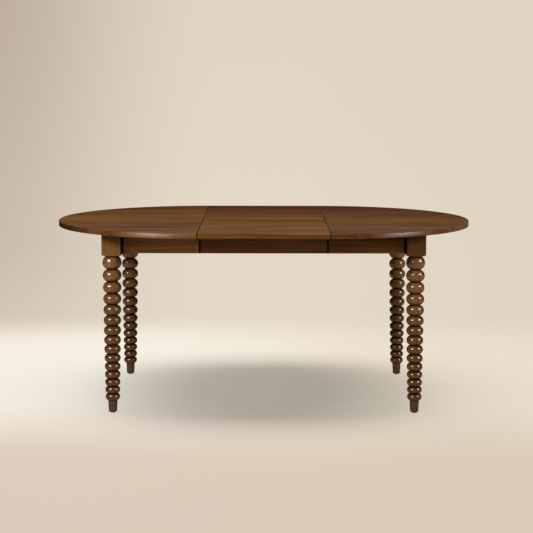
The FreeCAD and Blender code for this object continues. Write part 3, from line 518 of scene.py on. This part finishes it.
def legMaterial(name, look):
    material, tree, shader, place = newMaterial(name)
    placeX, placeY, placeZ = splitXYZ(tree, place)
    centreX, centreY = look["centre"]
    fromX = mathNode(tree, "SUBTRACT", mathNode(tree, "ABSOLUTE", placeX), centreX)
    fromY = mathNode(tree, "SUBTRACT", mathNode(tree, "ABSOLUTE", placeY), centreY)
    # which leg: each has its own piece of timber
    shiftX, shiftY = look["timberShift"]
    legShift = mathNode(
        tree, "ADD", mathNode(tree, "MULTIPLY", mathNode(tree, "SIGN", placeX), shiftX),
        mathNode(tree, "MULTIPLY", mathNode(tree, "SIGN", placeY), shiftY))
    heartX, heartY = look["heart"]
    timber = joinXYZ(tree, mathNode(tree, "ADD", placeZ, legShift),
                     mathNode(tree, "ADD", fromX, heartX), mathNode(tree, "ADD", fromY, heartY))
    grain = placeGrain(tree, look, mapped(tree, timber, Scale=look["grainScale"]))
    radius = mathNode(tree, "SQRT", mathNode(
        tree, "ADD", mathNode(tree, "MULTIPLY", fromX, fromX),
        mathNode(tree, "MULTIPLY", fromY, fromY)))
    # painted shade in the hollows between the beads
    paintedShadeMask = mapRange(tree, radius, look["hollowFrom"], look["hollowTo"], 1.0, 0.0, smooth=True)
    aboveFoot = mapRange(tree, placeZ, *look["hollowFoot"])
    paintedShadeMask = mathNode(tree, "MULTIPLY", paintedShadeMask,
                    mathNode(tree, "MULTIPLY", aboveFoot, look["hollowShade"]))
    # painted shade, with more roughness, on the collar under the block and on the side of the
    # block next to the apron
    collar = mathNode(tree, "MULTIPLY",
                      mathNode(tree, "LESS_THAN", radius, look["collarRadius"]),
                      mathNode(tree, "GREATER_THAN", placeZ, look["collarLow"]))
    inner = mathNode(tree, "LESS_THAN", fromX, look["innerSide"])
    foot = mapRange(tree, placeZ, *look["footReach"], look["footShade"], 0.0)
    for darker in (collar, inner, foot):
        paintedShadeMask = mathNode(tree, "MAXIMUM", paintedShadeMask, darker)
    onBlock = mathNode(tree, "GREATER_THAN", placeZ, look["blockLow"])
    calm = mixColour(tree, look["blockTone"], srgb(*look["light"]), srgb(*look["dark"]))
    body = mixColour(tree, mathNode(tree, "MULTIPLY", onBlock, look["blockCalm"]),
                     grain["Color"], calm)
    upLeg = mapRange(tree, placeZ, *look["height"])
    # painted shade, by height up the leg
    toned = tinted(tree, body, toneRamp(tree, upLeg, look["paintedLightTones"]))
    # painted shade on the front right leg, darker on its block
    frontRight = mathNode(tree, "MULTIPLY", mathNode(tree, "GREATER_THAN", placeX, 0.0),
                          mathNode(tree, "LESS_THAN", placeY, 0.0))
    frontRightShading = mixColour(tree, onBlock, opaque(look["frontRightShade"]),
                           opaque(look["frontRightBlockShade"]))
    toned = tinted(tree, toned, frontRightShading, frontRight)
    rough = grain["Roughness"]
    for where, added in ((paintedShadeMask, "hollowRoughness"), (onBlock, "blockRoughness"),
                         (inner, "innerRoughness")):
        rough = mathNode(tree, "ADD", rough, mathNode(tree, "MULTIPLY", where, look[added]))
    finishWood(tree, shader, look, mixColour(tree, paintedShadeMask, toned, srgb(*look["hollow"])), rough,
               grain["Height"])
    shader.inputs["Coat Weight"].default_value = look["varnish"]
    shader.inputs["Coat Roughness"].default_value = look["varnishRoughness"]
    shader.inputs["Coat Tint"].default_value = opaque(look["varnishTint"])
    shader.inputs["Coat IOR"].default_value = look["varnishDepth"]
    return material


# Other wood: aprons, slides, blocks, rails and pins. turn brings the grain along the piece.

endApronLook = {
    "light": (179, 132, 76), "dark": (111, 75, 38), "pore": (40, 24, 11),
    "rings": 0.4, "pores": 0.4, "roughness": 0.55, "specular": 0.08, "relief": 0.0003,
}
# the long aprons take painted shade up to the top and against the legs
leftApronLook = dict(endApronLook, paintedShadeUnderTop=0.29, shadeFoot=0.645, shadeTop=0.722,
                     legFace=0.5655, legGap=0.006, legShade=0.9)
leafApronLook = dict(leftApronLook, light=(138, 95, 50), dark=(84, 54, 25))
rightApronLook = dict(leftApronLook, light=(168, 117, 59), dark=(103, 67, 30), paintedShadeUnderTop=0.11,
                      shadeTop=0.705)
slideLook = {
    "light": (214, 182, 138), "dark": (182, 144, 100), "pore": (140, 104, 68),
    "rings": 0.4, "pores": 0.3, "roughness": 0.5, "specular": 0.4, "relief": 0.0003,
}
blockLook = {
    "light": (206, 170, 122), "dark": (166, 126, 84), "pore": (120, 86, 54),
    "rings": 0.5, "pores": 0.4, "roughness": 0.6, "specular": 0.35, "relief": 0.0003,
}
dowelLook = {
    "light": (222, 194, 152), "dark": (196, 160, 116), "pore": (160, 122, 84),
    "rings": 0.3, "pores": 0.3, "roughness": 0.5, "specular": 0.4, "relief": 0.0003,
}
alongX = (0.0, 0.0, 0.0)
alongY = (0.0, 0.0, math.radians(90.0))


def woodMaterial(name, look, turn, shift):
    material, tree, shader, place = newMaterial(name)
    grain = placeGrain(tree, look, mapped(tree, place, Rotation=turn, Location=shift))
    colour = grain["Color"]
    if "paintedShadeUnderTop" in look:
        placeX, _, placeZ = splitXYZ(tree, place)
        # painted shade, darker up to the top
        shade = mapRange(tree, placeZ, look["shadeFoot"], look["shadeTop"], 1.0,
                         look["paintedShadeUnderTop"])
        colour = tinted(tree, colour, grey(tree, shade))
        # black in the joints at the seams, and painted shade against the legs
        paintedShadeAtLeg = mapRange(tree, mathNode(tree, "ABSOLUTE", placeX),
                              look["legFace"] - look["legGap"], look["legFace"], 0.0,
                              look["legShade"])
        jointAndShade = mathNode(tree, "MAXIMUM", nearSeam(tree, placeX, apronSeamLook), paintedShadeAtLeg)
        colour = mixColour(tree, jointAndShade, colour, srgb(*legLook["hollow"]))
    finishWood(tree, shader, look, colour, grain["Roughness"], grain["Height"])
    return material


# Metal and plastic

metalLooks = {
    "latchSteel": {"bright": (176, 172, 164), "dull": (120, 116, 110), "metallic": 1.0,
                   "roughness": 0.34, "grain": 90.0},
    "gearBrass": {"bright": (204, 164, 92), "dull": (150, 112, 58), "metallic": 1.0,
                  "roughness": 0.32, "grain": 120.0},
    "rackSteel": {"bright": (150, 148, 146), "dull": (96, 94, 92), "metallic": 1.0,
                  "roughness": 0.42, "grain": 140.0},
    "fastenerSteel": {"bright": (190, 186, 176), "dull": (130, 124, 112), "metallic": 1.0,
                      "roughness": 0.3, "grain": 200.0},
    "glidePlastic": {"bright": (72, 56, 44), "dull": (52, 40, 32), "metallic": 0.0,
                     "roughness": 0.45, "grain": 160.0},
}
# mottling and scuffs, alike on all of them
wearLook = {
    "mottleDetail": 5.0,
    "mottleRoughness": 0.6,
    "mottleReach": (0.35, 0.7),
    "scuffDetail": 3.0,
    "scuffRoughness": 0.5,
    "scuffReach": (0.3, 0.7),
    "scuffSquash": 6,
    "smoother": 0.06,
    "rougher": 0.12,
    "relief": 0.00008,
}


def plainMaterial(name, look, wear):
    material, tree, shader, place = newMaterial(name)
    size = look["grain"]
    mottle = noise(tree, place, (size, size, size), wear["mottleDetail"],
                   wear["mottleRoughness"])
    scuffs = noise(tree, place, (size * wear["scuffSquash"], size, size), wear["scuffDetail"],
                   wear["scuffRoughness"])
    link(tree, mixColour(tree, mapRange(tree, mottle, *wear["mottleReach"]),
                         srgb(*look["bright"]), srgb(*look["dull"])),
         shader.inputs["Base Color"])
    link(tree, mapRange(tree, scuffs, *wear["scuffReach"], look["roughness"] - wear["smoother"],
                        look["roughness"] + wear["rougher"]), shader.inputs["Roughness"])
    link(tree, bump(tree, scuffs, wear["relief"]), shader.inputs["Normal"])
    shader.inputs["Metallic"].default_value = look["metallic"]
    return material


# The last number picks a top's boards, and the last three shift the grain of other wood

materials = {
    "leftTop": topMaterial("leftTopWood", leftLook, 3.0),
    "rightTop": topMaterial("rightTopWood", topLook, 11.0),
    "leafTop": topMaterial("leafTopWood", leafLook, 7.0),
    "leg": legMaterial("legWood", legLook),
    "leftApron": woodMaterial("leftApronWood", leftApronLook, alongX, (0.0, 0.30, -0.70)),
    "rightApron": woodMaterial("rightApronWood", rightApronLook, alongX, (5.0, 0.30, -0.70)),
    "leafApron": woodMaterial("leafApronWood", leafApronLook, alongX, (2.0, 0.32, -0.71)),
    "endApron": woodMaterial("endApronWood", endApronLook, alongY, (0.0, 0.5, -0.70)),
    "slide": woodMaterial("slideWood", slideLook, alongX, (0.0, 0.0, -0.72)),
    "crossRail": woodMaterial("crossRailWood", slideLook, alongY, (0.0, 0.1, -0.70)),
    "block": woodMaterial("blockWood", blockLook, alongX, (0.0, 0.02, -0.66)),
    "dowel": woodMaterial("dowelWood", dowelLook, alongX, (0.0, 0.01, -0.70)),
}
for metalName, metalLook in metalLooks.items():
    materials[metalName] = plainMaterial(metalName, metalLook, wearLook)
print("materials made:", len(materials))

# Which finish each piece of the frame gets; the first part of a name that fits is taken

finishes = [
    ("leaf_top", "leafTop"),
    ("left_half_top", "leftTop"),
    ("right_half_top", "rightTop"),
    ("leaf_front_apron", "leafApron"),
    ("leaf_back_apron", "leafApron"),
    ("end_apron", "endApron"),
    ("left_front_apron", "leftApron"),
    ("left_back_apron", "leftApron"),
    ("_apron", "rightApron"),
    ("_leg", "leg"),
    ("foot_glides", "glidePlastic"),
    ("corner_blocks", "block"),
    ("screw_blocks", "block"),
    ("_runner", "slide"),
    ("seam_rail", "crossRail"),
    ("crossbar_screws", "fastenerSteel"),
    ("centre_crossbar", "crossRail"),
    ("seam_pins", "dowel"),
    ("stop_pegs", "dowel"),
    ("pinion_pins", "rackSteel"),
    ("_pinion", "gearBrass"),
    ("racks", "rackSteel"),
    ("latch_screws", "fastenerSteel"),
    ("latch", "latchSteel"),
    ("keeper_screws", "fastenerSteel"),
    ("keeper_plates", "latchSteel"),
    ("hanger_bolts", "fastenerSteel"),
    ("washers", "fastenerSteel"),
    ("nuts", "fastenerSteel"),
    ("wood_screws", "fastenerSteel"),
]

for nodeName, piece in nodes.items():
    finish = next(name for part, name in finishes if part in nodeName)
    for materialSlot in piece.material_slots:
        materialSlot.material = materials[finish]
print("pieces finished:", len(nodes))

# Stage: a round pale floor that fades into the backdrop, which is the world behind it


def seenRays(tree):
    # 1 where the camera, gloss or glass looks, 0 for the light that falls on the object
    rays = addNode(tree, "ShaderNodeLightPath")
    return mathNode(tree, "MAXIMUM", rays.outputs["Is Camera Ray"],
                    mathNode(tree, "MAXIMUM", rays.outputs["Is Glossy Ray"],
                             rays.outputs["Is Transmission Ray"]))


def outwards(tree, place, size, shift):
    # how far a place is from the middle, on an oval
    node = addNode(tree, "ShaderNodeVectorMath", operation="LENGTH")
    link(tree, mapped(tree, place, Scale=size, Location=shift), node.inputs[0])
    return node.outputs["Value"]


floorLook = {
    "radius": 6.0,
    "sides": 96,
    "roughness": 0.9,
    "specular": 0.1,
    "front": (216, 200, 183),
    "left": (245, 238, 226),
    "right": (232, 221, 204),
    # where the paint changes, and how much of the front's colour it takes there
    "rightReach": (-0.9, 0.9),
    "frontReach": (-0.12, -1.15),
    "frontShare": (0.0, 0.92),
    "mottle": ((0.6, 0.6, 0.6), 2.0),   # its size and detail
    "mottleReach": (0.3, 0.7),
    "mottleShare": (0.0, 0.04),
    "glowBelow": 0.42,
    "glowAside": 0.86,
    "glowOval": (1.0, 0.71, 0.0),
    "glowPlace": (0.0, -0.033, 0.0),
    "glowFrom": 0.2,
    "glowTo": 0.96,
    "fadeOval": (0.5, 1.0, 1.0),
    "fadePlace": (0.0, 0.9, 0.0),
    "fadeFrom": 2.0,
    "fadeTo": 2.95,
}


def addFloor(look):
    for item in bpy.context.selected_objects:
        item.select_set(False)
    bpy.ops.mesh.primitive_circle_add(vertices=look["sides"], radius=look["radius"],
                                      fill_type="NGON")
    floor = bpy.context.active_object
    floor.name = "studioFloor"
    material, tree, shader, place = newMaterial("floorPaint")
    shader.inputs["Roughness"].default_value = look["roughness"]
    shader.inputs["Specular IOR Level"].default_value = look["specular"]
    # painted light: paler on the left and behind, and darker towards the front
    placeX, placeY, _ = splitXYZ(tree, place)
    toRight = mapRange(tree, placeX, *look["rightReach"], smooth=True)
    toFront = mapRange(tree, placeY, *look["frontReach"], *look["frontShare"], smooth=True)
    mottle = mapRange(tree, noise(tree, place, *look["mottle"]), *look["mottleReach"],
                      *look["mottleShare"])
    paint = mixColour(tree, toRight, srgb(*look["left"]), srgb(*look["right"]))
    for share in (toFront, mottle):
        paint = mixColour(tree, share, paint, srgb(*look["front"]))
    link(tree, paint, shader.inputs["Base Color"])
    # painted light: the camera and gloss see the floor partly glow with its own paint, less under
    # the table and more away from it on a long oval, which lightens its shadow
    grown = mapRange(tree, outwards(tree, place, look["glowOval"], look["glowPlace"]),
                     look["glowFrom"], look["glowTo"], look["glowBelow"], look["glowAside"],
                     smooth=True)
    glow = addNode(tree, "ShaderNodeEmission")
    link(tree, paint, glow.inputs["Color"])
    lit = mixShaders(tree, mathNode(tree, "MULTIPLY", seenRays(tree), grown),
                     shader.outputs[0], glow.outputs[0])
    fade = mapRange(tree, outwards(tree, place, look["fadeOval"], look["fadePlace"]),
                    look["fadeFrom"], look["fadeTo"], smooth=True)
    # seen from below, the floor doesn't hide the object
    under = addNode(tree, "ShaderNodeNewGeometry").outputs["Backfacing"]
    clear = addNode(tree, "ShaderNodeBsdfTransparent")
    link(tree, mixShaders(tree, mathNode(tree, "MAXIMUM", fade, under), lit, clear.outputs[0]),
         tree.nodes["Material Output"].inputs["Surface"])
    floor.data.materials.append(material)


backdropLook = {
    "low": (228, 217, 199),
    "high": (223, 212, 194),
    "left": (213, 205, 205),
    "room": (60, 54, 47),
    "strength": 1.0,
    "ambient": 0.17,
    "ambientColour": (1.0, 0.97, 0.93),
    # where the colours change, in X, Y or Z of the direction looked in, and the shares there
    "riseReach": (-0.14, 0.10),
    "rightReach": (0.03, 0.16),
    "rightShare": (0.0, 0.8),
    "leftReach": (-0.22, -0.03),
    "leftShareByRise": (0.74, 1.0),
    "leftFootReach": (-0.175, -0.12),
    "leftFootShare": (0.6, 1.0),
    "roomAside": (0.2, 0.42),
    "roomBehind": (0.3, -0.1),
}


def setWorld(look):
    world = bpy.data.worlds.new("studioBackdrop")
    scene.world = world
    world.use_nodes = True
    tree = world.node_tree
    coordinates = addNode(tree, "ShaderNodeTexCoord")
    wayX, wayY, wayZ = splitXYZ(tree, coordinates.outputs["Generated"])
    rise = mathNode(tree, "ADD", mapRange(tree, wayZ, *look["riseReach"], smooth=True),
                    mapRange(tree, wayX, *look["rightReach"], *look["rightShare"]), clamp=True)
    left = mapRange(tree, wayX, *look["leftReach"], 1.0, 0.0, smooth=True)
    for share in (mapRange(tree, rise, 0.0, 1.0, *look["leftShareByRise"]),
                  mapRange(tree, wayZ, *look["leftFootReach"], *look["leftFootShare"])):
        left = mathNode(tree, "MULTIPLY", left, share)
    wall = mixColour(tree, rise, srgb(*look["low"]), srgb(*look["high"]))
    wall = tinted(tree, wall, srgb(*look["left"]), left)
    # in gloss the paper is only as wide as the picture, with the dimmer room beyond
    aside = mapRange(tree, mathNode(tree, "ABSOLUTE", wayX), *look["roomAside"], smooth=True)
    behind = mapRange(tree, wayY, *look["roomBehind"], smooth=True)
    room = mathNode(tree, "MULTIPLY", mathNode(tree, "MAXIMUM", aside, behind),
                    addNode(tree, "ShaderNodeLightPath").outputs["Is Glossy Ray"])
    shown = tree.nodes["Background"]
    link(tree, mixColour(tree, room, wall, srgb(*look["room"])), shown.inputs["Color"])
    shown.inputs["Strength"].default_value = look["strength"]
    ambient = addNode(tree, "ShaderNodeBackground")
    ambient.inputs["Color"].default_value = opaque(look["ambientColour"])
    ambient.inputs["Strength"].default_value = look["ambient"]
    link(tree, mixShaders(tree, seenRays(tree), ambient.outputs[0], shown.outputs[0]),
         tree.nodes["World Output"].inputs["Surface"])


addFloor(floorLook)
setWorld(backdropLook)
print("floor and backdrop made")

# Lamps: a broad one overhead and a raised soft box at each side of the front light the object,
# and a second broad one overhead lights the floor, so that it keeps one soft shadow

lampColour = (1.0, 0.975, 0.94)
lamps = {
    "overheadLamp": {"place": (0.0, 0.0, 3.6), "aim": (0.0, 0.0, 0.0), "size": (3.2, 2.0),
                     "power": 78.0, "lights": "object"},
    "leftSoftBox": {"place": (-3.45, -4.0, 3.4), "aim": (-0.4, -0.2, 0.6),
                    "size": (2.3, 1.7), "power": 435.0, "lights": "object"},
    "rightSoftBox": {"place": (4.7, -2.4, 2.9), "aim": (0.4, -0.2, 0.5),
                     "size": (2.3, 1.6), "power": 320.0, "lights": "object"},
    "floorLamp": {"place": (0.0, -0.05, 5.0), "aim": (0.0, -0.05, 0.0), "size": (4.4, 2.8),
                  "power": 330.0, "lights": "floor"},
}

receivers = {}
for lit in ("object", "floor"):
    receivers[lit] = bpy.data.collections.new(lit + "Lit")
for item in scene.objects:
    if item.type == "MESH":
        receivers["floor" if item.name == "studioFloor" else "object"].objects.link(item)


def addLamp(name, look):
    data = bpy.data.lights.new(name, "AREA")
    data.shape = "RECTANGLE"
    data.size, data.size_y = look["size"]
    data.energy = look["power"]
    data.color = lampColour
    lamp = bpy.data.objects.new(name, data)
    scene.collection.objects.link(lamp)
    lamp.light_linking.receiver_collection = receivers[look["lights"]]
    way = Vector(look["aim"]) - Vector(look["place"])
    lamp.rotation_euler = way.to_track_quat("-Z", "Y").to_euler()
    lamp.location = look["place"]


for lampName, lampLook in lamps.items():
    addLamp(lampName, lampLook)
print("stage lit")
